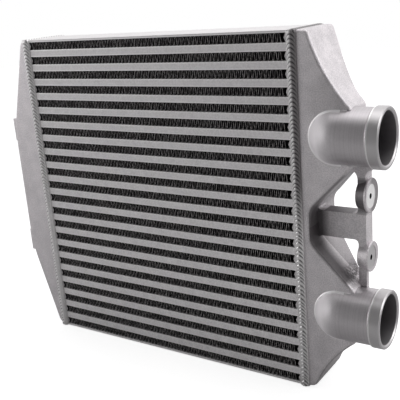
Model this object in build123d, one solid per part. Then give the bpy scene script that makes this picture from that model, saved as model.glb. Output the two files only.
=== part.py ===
from build123d import *
import math
import os

# Bar-and-plate charge-air cooler. Millimetres, +X towards the hose necks, +Y towards the rear
# face, +Z up. The origin is the middle of the core's underside.

# ---------------------------------------------------------------------------------------------
# Driving dimensions
# ---------------------------------------------------------------------------------------------

# Core
ambient_rows = 22
fin_length = 299.0
core_depth = 55.0
fin_height = 8.0
channel_height = 6.0
sheet_thickness = 0.5
plate_thickness = 2.0
closing_bar_width = 5.0
long_bar_width = 5.0
bar_nose = 3.0

# Folded strips. The folds are wider than the real foil's, ten to each row.
foil_thickness = 0.4
fin_fold_pitch = 30.0
turbulator_fold_pitch = 12.0
strip_clearance = 0.3
fin_setback = 0.5

# Cast tanks
tank_wall = 4.0
tank_front_radius = 3.0
tank_rear_bevel = 2.0
partition_thickness = 5.0

# Hose necks
neck_outer_radius = 24.75
neck_wall = 2.5
neck_behind_front = 10.0
neck_above_middle = 75.0
neck_below_middle = 85.0
neck_dome_reach = 35.5
neck_mouth_reach = 78.0
lip_height = 1.25
lip_length = 10.0
lip_ramp = 1.5
lip_round = 0.9
mouth_chamfer = 1.2
dome_root_radius = 2.0

# Outline of the necked tank, as reaches beyond the core's end face
shoulder_reach = 50.5
top_reach = 14.0
bottom_reach = 10.5
flank_sag_upper = 4.3
flank_sag_lower = 4.8
valley_reach = 11.0
valley_floor_height = 30.0
valley_radius = 13.0
top_corner_radius = 4.0
bottom_corner_radius = 8.0
shoulder_radius = 5.0
rear_sweep_start = 17.0
rear_sweep_end = 43.0
rear_sweep_radius = 16.0

# Bracket cast between the necks
strut_reach = 48.3
strut_thickness = 7.1
strut_depth = 15.0
strut_foot_depth = 5.0
strut_flare = 6.0
upper_root_flare = 9.0
upper_root_drop = 5.0
bracket_behind_front = 24.5
bracket_below_valley = 1.0
arm_height = 23.8
arm_flare = 5.0
arm_radius = 4.0
boss_spacing = 55.5
upper_boss_radius = 15.5
lower_boss_radius = 14.0
boss_forward = 1.5
boss_height = 3.4
boss_edge = 0.8
boss_draft = 18.0
screw_hole_radius = 2.5
screw_hole_forward = 2.5
spot_face_radius = 10.5
spot_face_depth = 0.4

# Outline of the closed tank
closed_end_reach = 9.0
closed_plateau_reach = 37.5
closed_plateau_height = 136.0
closed_blend_radius = 150.0
pad_height = 25.0
pad_depth = 40.0
pad_stand = 8.8
pad_spacing = 131.0
pad_root = 9.0
pad_bulb_radius = 8.0
pad_hole_depth = 15.0
pad_edge = 1.0

# Weld beads
bead_width = 9.0
bead_on_core = 4.5
bead_height = 3.0
bead_height_at_ends = 1.0
bead_bevel = 2.6
bead_bevel_at_ends = 0.9

# ---------------------------------------------------------------------------------------------
# Sizes that follow
# ---------------------------------------------------------------------------------------------

channels = ambient_rows - 1
row_pitch = fin_height + channel_height + 2 * sheet_thickness
core_length = fin_length + 2 * closing_bar_width
core_height = (
    2 * plate_thickness
    + ambient_rows * fin_height
    + channels * (channel_height + 2 * sheet_thickness)
)
joint_x = core_length / 2
front_y = -core_depth / 2
rear_y = core_depth / 2
middle_z = core_height / 2

neck_y = front_y + neck_behind_front
neck_bore_radius = neck_outer_radius - neck_wall
upper_neck_z = middle_z + neck_above_middle
lower_neck_z = middle_z - neck_below_middle
mouth_x = joint_x + neck_mouth_reach
dome_x = joint_x + neck_dome_reach

shoulder_x = joint_x + shoulder_reach
valley_z = (upper_neck_z + lower_neck_z) / 2
bracket_y = front_y + bracket_behind_front
bracket_z = valley_z - bracket_below_valley
boss_y = bracket_y - boss_forward
screw_y = boss_y - screw_hole_forward
strut_x = joint_x + strut_reach
boss_face_x = strut_x + strut_thickness + boss_height


# ---------------------------------------------------------------------------------------------
# Helpers
# ---------------------------------------------------------------------------------------------


def along_y(face, low, high):
    """Extrude an XZ outline from y = low to y = high."""
    return extrude(Plane.XZ.offset(-high) * face, amount=high - low)


def along_x(face, low, high):
    """Extrude a YZ outline from x = low to x = high."""
    return extrude(Plane.YZ.offset(low) * face, amount=high - low)


def block(low, high):
    """Box between two opposite corners."""
    size = [b - a for a, b in zip(low, high)]
    centre = [(a + b) / 2 for a, b in zip(low, high)]
    return Pos(*centre) * Box(*size)


def area(low, high):
    """Rectangle between two opposite corners."""
    (left, bottom), (right, top) = low, high
    return Pos((left + right) / 2, (bottom + top) / 2) * Rectangle(right - left, top - bottom)


def outline(*edges):
    return make_face(list(edges))


def rounded(face, corners, radius):
    """Round the outline's corners that lie nearest to the given points."""
    picked = [face.vertices().sort_by_distance((x, y, 0))[0] for x, y in corners]
    return fillet(picked, radius)


def row_floor(row):
    """Height of the underside of one ambient row."""
    return plate_thickness + row * row_pitch


def channel_floor(channel):
    """Height of the underside of one charge-air channel."""
    return row_floor(channel) + fin_height + sheet_thickness


def write(name, *solids):
    shape = solids[0] if len(solids) == 1 else Compound(children=list(solids))
    export_step(shape, f"parts/{name}.step")


# ---------------------------------------------------------------------------------------------
# Core
# ---------------------------------------------------------------------------------------------


def folded_outline(length, height, pitch):
    """Zigzag of foil from x = 0 to length and y = 0 to height, starting on the floor."""
    legs = 2 * round(length / pitch)
    step = length / legs
    foil = foil_thickness * math.hypot(1, height / step)
    upper = [(k * step, height if k % 2 else foil) for k in range(legs + 1)]
    lower = [(k * step, height - foil if k % 2 else 0) for k in range(legs + 1)]
    return make_face(Polyline(*upper, *reversed(lower), close=True))


def nosed_outline(width, height):
    """Bar section with its flat face on x = 0 and its nose towards +x."""
    corners = [
        (0, 0),
        (width, 0),
        (width + bar_nose, height / 2),
        (width, height),
        (0, height),
    ]
    return make_face(Polyline(*corners, close=True))


def fin_strip(row):
    length = fin_length - 2 * (bar_nose + strip_clearance)
    folds = Pos(-length / 2, row_floor(row)) * folded_outline(length, fin_height, fin_fold_pitch)
    return along_y(folds, front_y + fin_setback, rear_y - fin_setback)


def turbulator(channel):
    width = core_depth - 2 * (long_bar_width + bar_nose + strip_clearance)
    folds = folded_outline(width, channel_height, turbulator_fold_pitch)
    return along_x(Pos(-width / 2, channel_floor(channel)) * folds, -joint_x, joint_x)


def closing_bar(row, side):
    """Bar that ends an ambient row; side is -1 at the closed tank and +1 at the necks."""
    section = nosed_outline(closing_bar_width, fin_height)
    bar = along_y(Pos(-joint_x, row_floor(row)) * section, front_y, rear_y)
    return bar if side < 0 else mirror(bar, Plane.YZ)


def long_bar(channel, side):
    """Bar that closes a channel's long edge; side is -1 at the front and +1 at the rear."""
    section = nosed_outline(long_bar_width, channel_height)
    bar = along_x(Pos(front_y, channel_floor(channel)) * section, -joint_x, joint_x)
    return bar if side < 0 else mirror(bar, Plane.XZ)


def sheet(floor, thickness, reach=joint_x):
    """Flat sheet across the core, out to x = reach at both ends."""
    return block((-reach, front_y, floor), (reach, rear_y, floor + thickness))


def side_plate(floor):
    """Outer plate of the core. Its ends stop short, and the weld beads fill the step."""
    return sheet(floor, plate_thickness, joint_x - bead_on_core)


def parting_sheets():
    below = [channel_floor(c) - sheet_thickness for c in range(channels)]
    above = [channel_floor(c) + channel_height for c in range(channels)]
    return [sheet(floor, sheet_thickness) for floor in sorted(below + above)]


# ---------------------------------------------------------------------------------------------
# Necked tank
# ---------------------------------------------------------------------------------------------


def necked_outline(root_x):
    """Front view of the tank, from the plane x = root_x outwards."""
    top = (joint_x + top_reach, core_height)
    bottom = (joint_x + bottom_reach, 0)
    shoulders = [
        (shoulder_x, upper_neck_z + neck_outer_radius),
        (shoulder_x, upper_neck_z - neck_outer_radius),
        (shoulder_x, lower_neck_z + neck_outer_radius),
        (shoulder_x, lower_neck_z - neck_outer_radius),
    ]
    valley = [
        (joint_x + valley_reach, valley_z + valley_floor_height / 2),
        (joint_x + valley_reach, valley_z - valley_floor_height / 2),
    ]
    face = outline(
        Line((root_x, 0), (root_x, core_height)),
        Line((root_x, core_height), top),
        SagittaArc(top, shoulders[0], -flank_sag_upper),
        Polyline(shoulders[0], shoulders[1], valley[0], valley[1], shoulders[2], shoulders[3]),
        SagittaArc(shoulders[3], bottom, -flank_sag_lower),
        Line(bottom, (root_x, 0)),
    )
    face = rounded(face, valley, valley_radius)
    face = rounded(face, shoulders, shoulder_radius)
    face = rounded(face, [top], top_corner_radius)
    return rounded(face, [bottom], bottom_corner_radius)


def necked_plan(inset):
    """Top view of the tank: full depth at the core, swept forwards to the necks at the rear."""
    deep = rear_y - inset
    shallow = neck_y + neck_outer_radius - inset
    sweep = [(joint_x + rear_sweep_start, deep), (joint_x + rear_sweep_end, shallow)]
    root = joint_x - 2 * tank_wall
    front = front_y + inset
    corners = [(root, front), (root, deep), *sweep, (mouth_x, shallow), (mouth_x, front)]
    return rounded(make_face(Polyline(*corners, close=True)), sweep, rear_sweep_radius)


def neck_body(centre_z):
    """Outside of one neck: a domed inner end, a plain tube and a raised lip at the mouth."""
    r = neck_outer_radius
    lip_r = r + lip_height
    lip_x = mouth_x - lip_length
    half = outline(
        CenterArc((dome_x, 0), r, 90, 90),
        Line((dome_x, r), (lip_x - lip_ramp, r)),
        Line((lip_x - lip_ramp, r), (lip_x, lip_r)),
        Line((lip_x, lip_r), (mouth_x - lip_round, lip_r)),
        Line((mouth_x - lip_round, lip_r), (mouth_x, lip_r - lip_round)),
        Line((mouth_x, lip_r - lip_round), (mouth_x, 0)),
        Line((mouth_x, 0), (dome_x - r, 0)),
    )
    return Pos(0, neck_y, centre_z) * revolve(half, Axis.X)


def neck_bore(centre_z):
    """Air way through one neck, with a bevelled mouth and a bevelled inner end."""
    r = neck_bore_radius
    facet = r * math.tan(math.radians(22.5))
    corners = [
        (dome_x - r, 0),
        (dome_x - r, facet),
        (dome_x - facet, r),
        (mouth_x - mouth_chamfer, r),
        (mouth_x, r + mouth_chamfer),
        (mouth_x, 0),
    ]
    half = make_face(Polyline(*corners, close=True))
    return Pos(0, neck_y, centre_z) * revolve(half, Axis.X)


def bracket_front():
    """Front view of the strut and its arm, with flared roots at the necks and at the tank."""
    left = strut_x
    right = strut_x + strut_thickness
    flare_bottom = upper_neck_z - neck_outer_radius - upper_root_drop
    neck_top = lower_neck_z + neck_outer_radius
    wall_x = joint_x + valley_reach
    half = arm_height / 2
    strut = area((left, lower_neck_z), (right, upper_neck_z))
    arm = area((joint_x + tank_wall, bracket_z - half), (right, bracket_z + half))
    wide = upper_root_flare
    upper_root = area((left - wide, flare_bottom), (right + strut_flare, upper_neck_z))
    lower_root = area((left - strut_flare, lower_neck_z), (right, neck_top))
    flared = half + arm_flare
    arm_root = area((joint_x + tank_wall, bracket_z - flared), (wall_x, bracket_z + flared))
    face = strut + arm + upper_root + lower_root + arm_root
    face = rounded(face, [(left, flare_bottom)], upper_root_flare - 0.1)
    face = rounded(face, [(right, flare_bottom), (left, neck_top)], strut_flare - 0.1)
    arm_corners = [(x, bracket_z + side * half) for x in (left, wall_x) for side in (-1, 1)]
    return rounded(face, arm_corners, arm_radius)


def bracket_side():
    """Side view of the bracket: full depth down to the lower boss, then a thin foot."""
    front = bracket_y - strut_depth / 2
    rear = bracket_y + strut_depth / 2
    low_boss_z = screw_heights()[0]
    corners = [
        (front, lower_neck_z),
        (front + strut_foot_depth, lower_neck_z),
        (front + strut_foot_depth, low_boss_z - lower_boss_radius),
        (rear, low_boss_z),
        (rear, upper_neck_z),
        (front, upper_neck_z),
    ]
    return make_face(Polyline(*corners, close=True))


def bracket():
    """Strut between the necks, its arm back to the tank, and two screw bosses facing +X."""
    body = along_y(bracket_front(), front_y, rear_y) & along_x(bracket_side(), joint_x, mouth_x)
    for centre_z, radius in zip(screw_heights(), (lower_boss_radius, upper_boss_radius)):
        length = boss_face_x - strut_x
        back_radius = radius - length * math.tan(math.radians(boss_draft))
        boss = Rot(0, 90, 0) * Cone(back_radius, radius, length)
        boss = Pos(boss_face_x - length / 2, 0, 0) * boss
        rim = boss.faces().sort_by(Axis.X)[-1].edges()
        body += Pos(0, boss_y, centre_z) * chamfer(rim, boss_edge)
    return body


def screw_heights():
    """Heights of the lower and the upper screw hole."""
    return [bracket_z - boss_spacing / 2, bracket_z + boss_spacing / 2]


def screw_hole(centre_z):
    """Screw hole through a boss, with a machined face round its mouth."""
    hole = extrude(Plane.YZ.offset(strut_x - 1) * Circle(screw_hole_radius), amount=boss_face_x)
    face_x = boss_face_x - spot_face_depth
    spot = extrude(Plane.YZ.offset(face_x) * Circle(spot_face_radius), amount=boss_height)
    return Pos(0, screw_y, centre_z) * (hole + spot)


def is_rear_edge(edge):
    """True for an edge between the swept rear wall and the tank's outer walls."""
    box = edge.bounding_box()
    beyond_joint = box.max.X > joint_x + 0.01
    on_rear_wall = box.min.Y > neck_y + neck_outer_radius - 0.01
    return beyond_joint and on_rear_wall and not is_sweep_seam(edge)


def is_sweep_seam(edge):
    """True for an upright line down the rear wall where a flat stretch meets a round one."""
    box = edge.bounding_box()
    upright = box.size.X < 0.01 and box.size.Y < 0.01
    return upright and box.min.X < shoulder_x - 0.01


def dome_root():
    """Rounded root of a neck on the tank's front face: round the dome and along both sides."""
    centre_y = -neck_behind_front - dome_root_radius
    centre_r = math.sqrt((neck_outer_radius + dome_root_radius) ** 2 - centre_y**2)
    share = neck_outer_radius / (neck_outer_radius + dome_root_radius)
    on_face = (centre_r, centre_y + dome_root_radius)
    on_dome = (share * centre_r, share * centre_y)
    inside = (on_dome[0] - dome_root_radius, on_face[1] + dome_root_radius)
    section = outline(
        RadiusArc(on_face, on_dome, dome_root_radius),
        Line(on_dome, inside),
        Line(inside, on_face),
    )
    section = Rot(0, 90, 0) * section
    run = shoulder_x - tank_front_radius - dome_x
    side = extrude(section, amount=run, dir=(1, 0, 0))
    return revolve(section, Axis.Y, 180) + side + mirror(side, Plane.XY)


def necked_tank():
    body = along_y(necked_outline(joint_x), front_y, rear_y)
    body = body & extrude(necked_plan(0), amount=core_height)
    front = body.faces().sort_by(Axis.Y)[0]
    front_edges = [e for e in front.edges() if e.center().X > joint_x + 0.01]
    body = fillet(front_edges, tank_front_radius)
    rear_edges = [e for e in body.edges() if is_rear_edge(e)]
    body = chamfer(rear_edges, tank_rear_bevel)
    for centre_z in (lower_neck_z, upper_neck_z):
        body += neck_body(centre_z)
        body += Pos(dome_x, neck_y, centre_z) * dome_root()
    body += bracket()

    hollow = along_y(offset(necked_outline(joint_x - 2 * tank_wall), -tank_wall), front_y, rear_y)
    hollow = hollow & extrude(necked_plan(tank_wall), amount=core_height)
    partition_z = row_floor(ambient_rows // 2 - 1) + fin_height / 2
    hollow -= block(
        (joint_x - 2 * tank_wall, front_y, partition_z - partition_thickness / 2),
        (mouth_x, rear_y, partition_z + partition_thickness / 2),
    )
    body -= hollow
    for centre_z in (lower_neck_z, upper_neck_z):
        body -= neck_bore(centre_z)
    for centre_z in screw_heights():
        body -= screw_hole(centre_z)
    return body


# ---------------------------------------------------------------------------------------------
# Closed tank
# ---------------------------------------------------------------------------------------------


def closed_outline(root_x):
    """Front view of the closed tank, drawn towards +X and mirrored later."""
    end_x = joint_x + closed_end_reach
    plateau_x = joint_x + closed_plateau_reach
    ends = [(end_x, 0), (end_x, core_height)]
    plateau = [
        (plateau_x, middle_z - closed_plateau_height / 2),
        (plateau_x, middle_z + closed_plateau_height / 2),
    ]
    corners = [(root_x, 0), ends[0], *plateau, ends[1], (root_x, core_height)]
    face = make_face(Polyline(*corners, close=True))
    face = rounded(face, plateau, closed_blend_radius)
    return rounded(face, ends, bottom_corner_radius)


def pad(centre_z):
    """Fixing pad on the closed tank's outer wall."""
    outer_x = joint_x + closed_plateau_reach + pad_stand
    body = block(
        (joint_x + closed_plateau_reach - pad_root, -pad_depth / 2, centre_z - pad_height / 2),
        (outer_x, pad_depth / 2, centre_z + pad_height / 2),
    )
    return chamfer(body.faces().sort_by(Axis.X)[-1].edges(), pad_edge)


def pad_hole(centre_z):
    """Blind screw hole in the middle of a pad."""
    floor_x = joint_x + closed_plateau_reach + pad_stand - pad_hole_depth
    hole = extrude(Plane.YZ.offset(floor_x) * Circle(screw_hole_radius), amount=pad_hole_depth)
    return Pos(0, 0, centre_z) * hole


def pad_bulb(centre_z):
    """Thicker metal behind a pad, so that its screw hole stays closed."""
    root_x = joint_x + closed_plateau_reach - pad_root
    bulb = extrude(Plane.YZ.offset(root_x) * Circle(pad_bulb_radius), amount=pad_root)
    return Pos(0, 0, centre_z) * bulb


def closed_tank():
    body = along_y(closed_outline(joint_x), front_y, rear_y)
    front = body.faces().sort_by(Axis.Y)[0]
    body = fillet([e for e in front.edges() if e.center().X > joint_x + 0.01], tank_front_radius)
    rear = body.faces().sort_by(Axis.Y)[-1]
    body = chamfer([e for e in rear.edges() if e.center().X > joint_x + 0.01], tank_rear_bevel)
    heights = [middle_z - pad_spacing / 2, middle_z + pad_spacing / 2]
    for centre_z in heights:
        body += pad(centre_z)
    hollow = offset(closed_outline(joint_x - 2 * tank_wall), -tank_wall)
    body -= along_y(hollow, front_y + tank_wall, rear_y - tank_wall)
    for centre_z in heights:
        body += pad_bulb(centre_z)
        body -= pad_hole(centre_z)
    return body


# ---------------------------------------------------------------------------------------------
# Weld beads
# ---------------------------------------------------------------------------------------------


def weld_bead():
    """Crowned bead all round the joint, lower at the top and bottom, with a root in each step."""
    outer_depth = core_depth + 2 * bead_height
    outer_height = core_height + 2 * bead_height_at_ends
    outer = Box(bead_width, outer_depth, outer_height)
    outer = chamfer(outer.edges().filter_by(Axis.Z), bead_bevel)
    ends = outer.faces().sort_by(Axis.Z)
    outer = chamfer(ends[0].edges() + ends[-1].edges(), bead_bevel_at_ends)
    ring = outer - Box(bead_width, core_depth, core_height)
    bead = Pos(joint_x - bead_on_core + bead_width / 2, 0, middle_z) * ring
    for floor in (0, core_height - plate_thickness):
        low = (joint_x - bead_on_core, front_y, floor)
        bead += block(low, (joint_x, rear_y, floor + plate_thickness))
    return bead


# ---------------------------------------------------------------------------------------------
# Files
# ---------------------------------------------------------------------------------------------

os.makedirs("parts", exist_ok=True)

for row in range(ambient_rows):
    write(f"fin_strip_{row + 1:02d}", fin_strip(row))

for channel in range(channels):
    write(f"turbulator_{channel + 1:02d}", turbulator(channel))

write("front_channel_bars", *[long_bar(c, -1) for c in range(channels)])
write("rear_channel_bars", *[long_bar(c, 1) for c in range(channels)])
write("closing_bars_closed_end", *[closing_bar(r, -1) for r in range(ambient_rows)])
write("closing_bars_neck_end", *[closing_bar(r, 1) for r in range(ambient_rows)])
write("parting_sheets", *parting_sheets())
write("side_plate_bottom", side_plate(0))
write("side_plate_top", side_plate(core_height - plate_thickness))
write("necked_tank", necked_tank())
write("closed_tank", mirror(closed_tank(), Plane.YZ))
write("weld_bead_neck_end", weld_bead())
write("weld_bead_closed_end", mirror(weld_bead(), Plane.YZ))
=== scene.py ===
# %% [markdown]
# # A bar-and-plate charge-air cooler
#
# An intercooler cools the air between a turbocharger and an engine. Its core is a stack of two
# kinds of layer. Outside air blows through rows of folded black fins. The hot charge air flows
# through flat channels between them, closed along their edges by aluminium bars. Thin parting
# sheets lie between the layers, and the whole stack is brazed in one go. A cast tank is welded to
# each end: one turns the air round, and the other carries the two hose necks.
#
# The CAD model already holds every size. Here it is loaded as a fixed frame, in metres, and the
# looks are built round it: fine fins, rippled welds, tool marks and the metals' own grain.

import math

import bmesh
import bpy
from mathutils import Euler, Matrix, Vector


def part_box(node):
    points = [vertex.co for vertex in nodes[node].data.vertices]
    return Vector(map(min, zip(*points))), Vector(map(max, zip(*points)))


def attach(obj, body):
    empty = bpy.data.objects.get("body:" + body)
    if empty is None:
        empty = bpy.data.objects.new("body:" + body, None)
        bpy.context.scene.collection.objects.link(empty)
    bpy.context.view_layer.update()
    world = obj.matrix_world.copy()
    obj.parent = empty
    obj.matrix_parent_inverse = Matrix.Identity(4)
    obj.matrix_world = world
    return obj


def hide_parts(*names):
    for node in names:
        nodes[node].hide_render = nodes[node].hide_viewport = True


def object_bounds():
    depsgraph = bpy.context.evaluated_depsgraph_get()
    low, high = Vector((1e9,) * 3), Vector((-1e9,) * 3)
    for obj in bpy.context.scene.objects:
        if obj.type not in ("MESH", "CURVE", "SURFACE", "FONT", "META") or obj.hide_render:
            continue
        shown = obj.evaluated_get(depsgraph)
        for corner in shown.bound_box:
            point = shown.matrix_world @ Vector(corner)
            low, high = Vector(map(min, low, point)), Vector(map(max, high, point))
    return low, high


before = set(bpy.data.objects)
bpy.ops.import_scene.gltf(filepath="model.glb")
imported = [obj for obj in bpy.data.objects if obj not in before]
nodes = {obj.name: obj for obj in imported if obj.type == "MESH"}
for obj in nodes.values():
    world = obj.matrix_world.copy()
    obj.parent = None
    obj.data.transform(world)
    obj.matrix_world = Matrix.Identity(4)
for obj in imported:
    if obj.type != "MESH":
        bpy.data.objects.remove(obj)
cad_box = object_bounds()
print("CAD nodes:", len(nodes))
print("CAD box, lowest corner:", [round(v, 4) for v in cad_box[0]])
print("CAD box, highest corner:", [round(v, 4) for v in cad_box[1]])

# %% [markdown]
# ## Measure the core
#
# Nothing below repeats a size that the frame can give. The first and second fin rows tell where
# the rows start and how far apart they are, the parting sheets tell where the tanks are joined
# on, and the side plates tell how tall and deep the core is.

# %% Read the core's sizes off the frame
MM = 0.001
fin_nodes = sorted(name for name in nodes if name.startswith("fin_strip_"))
first_low, first_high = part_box(fin_nodes[0])
second_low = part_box(fin_nodes[1])[0]
rows = len(fin_nodes)
row_pitch = second_low.z - first_low.z
fin_height = first_high.z - first_low.z
fin_length = first_high.x - first_low.x
fin_depth = first_high.y - first_low.y

joint_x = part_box("parting_sheets")[1].x
core_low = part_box("side_plate_bottom")[0]
core_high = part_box("side_plate_top")[1]
core_depth = core_high.y - core_low.y
core_height = core_high.z - core_low.z
print("rows:", rows, "pitch in mm:", round(row_pitch / MM, 2))
print("core in mm:", [round(v / MM, 1) for v in (2 * joint_x, core_depth, core_height)])

# %% [markdown]
# ## Short ways to write node trees
#
# A node tree is easier to read when each node is one line. `Wires` wraps any tree: `node` adds a
# node and feeds its inputs, where a value may be a number or another node's output, and the other
# methods are short names for common nodes. Geometry and shader trees share them.

# %% A wrapper for node trees of both kinds
class Wires:
    """Short ways to add nodes to a tree."""

    def __init__(self, tree):
        self.tree = tree

    def feed(self, socket, value):
        """Link an output to a socket, or set the socket's own value."""
        if isinstance(value, bpy.types.NodeSocket):
            self.tree.links.new(value, socket)
        else:
            socket.default_value = value

    def node(self, kind, inputs=None, **settings):
        """Add a node with these settings, and feed its inputs by name or number."""
        made = self.tree.nodes.new(kind)
        for key, value in settings.items():
            setattr(made, key, value)
        for key, value in (inputs or {}).items():
            self.feed(made.inputs[key], value)
        return made

    def calc(self, operation, *values):
        """A math node's answer."""
        made = self.node("ShaderNodeMath", dict(enumerate(values)), operation=operation)
        return made.outputs[0]

    def plus(self, first, second):
        return self.calc("ADD", first, second)

    def minus(self, first, second):
        return self.calc("SUBTRACT", first, second)

    def times(self, first, *others):
        """All the values multiplied together."""
        for other in others:
            first = self.calc("MULTIPLY", first, other)
        return first

    def over(self, first, second):
        return self.calc("DIVIDE", first, second)

    def above(self, value, limit):
        """1 where the value is over the limit, and 0 elsewhere."""
        return self.calc("GREATER_THAN", value, limit)

    def below(self, value, limit):
        """1 where the value is under the limit, and 0 elsewhere."""
        return self.calc("LESS_THAN", value, limit)

    def size(self, value):
        """The value without its sign."""
        return self.calc("ABSOLUTE", value)

    def spread(self, value, start, end, low=0.0, high=1.0):
        """Stretch start..end to low..high, and hold the ends."""
        made = self.node(
            "ShaderNodeMapRange",
            {"Value": value, "From Min": start, "From Max": end, "To Min": low, "To Max": high},
        )
        return made.outputs[0]

    def distance(self, across, up):
        """Length of the two legs' hypotenuse."""
        return self.calc("SQRT", self.plus(self.times(across, across), self.times(up, up)))

    def vector(self, x=0.0, y=0.0, z=0.0):
        return self.node("ShaderNodeCombineXYZ", {"X": x, "Y": y, "Z": z}).outputs[0]

    def parts(self, vector):
        """The x, y and z outputs of a vector."""
        return self.node("ShaderNodeSeparateXYZ", {"Vector": vector}).outputs

    def join(self, operation, first, second):
        """A vector math node's answer for two vectors."""
        made = self.node("ShaderNodeVectorMath", {0: first, 1: second}, operation=operation)
        return made.outputs[0]

    def streaks(self, value):
        """Noise that changes along one value only."""
        made = self.node("ShaderNodeTexNoise", {"W": value, "Scale": 1.0}, noise_dimensions="1D")
        return made.outputs[0]


# %% [markdown]
# `Tree` is a new Geometry Nodes group, whose named inputs are made with `number`. A modifier runs
# it, and `grow` keeps the result. The group only makes instances while it works, so it ends by
# realizing them, and a plain mesh is taken from the evaluated object. That leaves no modifier that
# an export could drop.

# %% A new Geometry Nodes group
class Tree(Wires):
    """A Geometry Nodes group under construction."""

    def __init__(self, name):
        super().__init__(bpy.data.node_groups.new(name, "GeometryNodeTree"))
        self.tree.is_modifier = True
        self.entry = self.tree.nodes.new("NodeGroupInput")
        self.exit = self.tree.nodes.new("NodeGroupOutput")
        self.tree.interface.new_socket(
            "Geometry", in_out="OUTPUT", socket_type="NodeSocketGeometry"
        )
        self.identifiers = {}

    def number(self, name, kind="Float"):
        """A named input of the modifier: Float, Int or Material."""
        made = self.tree.interface.new_socket(
            name, in_out="INPUT", socket_type="NodeSocket" + kind
        )
        self.identifiers[name] = made.identifier
        return self.entry.outputs[name]

    def place(self):
        """The coordinates of each point."""
        return self.parts(self.node("GeometryNodeInputPosition").outputs[0])

    def move(self, geometry, offset):
        """The geometry with every point moved by the offset."""
        made = self.node("GeometryNodeSetPosition", {"Geometry": geometry, "Offset": offset})
        return made.outputs[0]

    def merge(self, geometry):
        """The geometry with points that share a place joined into one."""
        made = self.node(
            "GeometryNodeMergeByDistance", {"Geometry": geometry, "Distance": 0.01 * MM}
        )
        return made.outputs[0]

    def repeat(self, piece, count, step):
        """A row of real copies, one step apart."""
        line = self.node("GeometryNodeMeshLine", {"Count": count, "Offset": step}, mode="OFFSET")
        return self.fill(line.outputs[0], piece)

    def fill(self, points, piece):
        """A real copy of the piece at every point."""
        copies = self.node("GeometryNodeInstanceOnPoints", {"Points": points, "Instance": piece})
        return self.node(
            "GeometryNodeRealizeInstances", {"Geometry": copies.outputs[0]}
        ).outputs[0]

    def store(self, geometry, name, value):
        """The geometry with a number kept at every point under this name."""
        made = self.node(
            "GeometryNodeStoreNamedAttribute",
            {"Geometry": geometry, "Name": name, "Value": value},
            data_type="FLOAT", domain="POINT",
        )
        return made.outputs[0]

    def finish(self, geometry, material):
        """Turn instances into one mesh, give it its material and end the tree."""
        real = self.node("GeometryNodeRealizeInstances", {"Geometry": geometry})
        painted = self.node(
            "GeometryNodeSetMaterial", {"Geometry": real.outputs[0], "Material": material}
        )
        self.tree.links.new(painted.outputs[0], self.exit.inputs[0])


# %% Run a tree and keep its result as a plain mesh
def grow(name, tree, values):
    """An object holding the tree's result for these input values, with no modifier left."""
    holder = bpy.data.objects.new(name + "_maker", bpy.data.meshes.new(name + "_start"))
    bpy.context.scene.collection.objects.link(holder)
    modifier = holder.modifiers.new(name, "NODES")
    modifier.node_group = tree.tree
    for key, value in values.items():
        modifier[tree.identifiers[key]] = value
    graph = bpy.context.evaluated_depsgraph_get()
    mesh = bpy.data.meshes.new_from_object(holder.evaluated_get(graph))
    holder.modifiers.remove(modifier)
    bpy.data.objects.remove(holder)
    mesh.name = name
    piece = bpy.data.objects.new(name, mesh)
    bpy.context.scene.collection.objects.link(piece)
    mesh.calc_loop_triangles()
    print(name, "triangles:", len(mesh.loop_triangles))
    return piece
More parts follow.
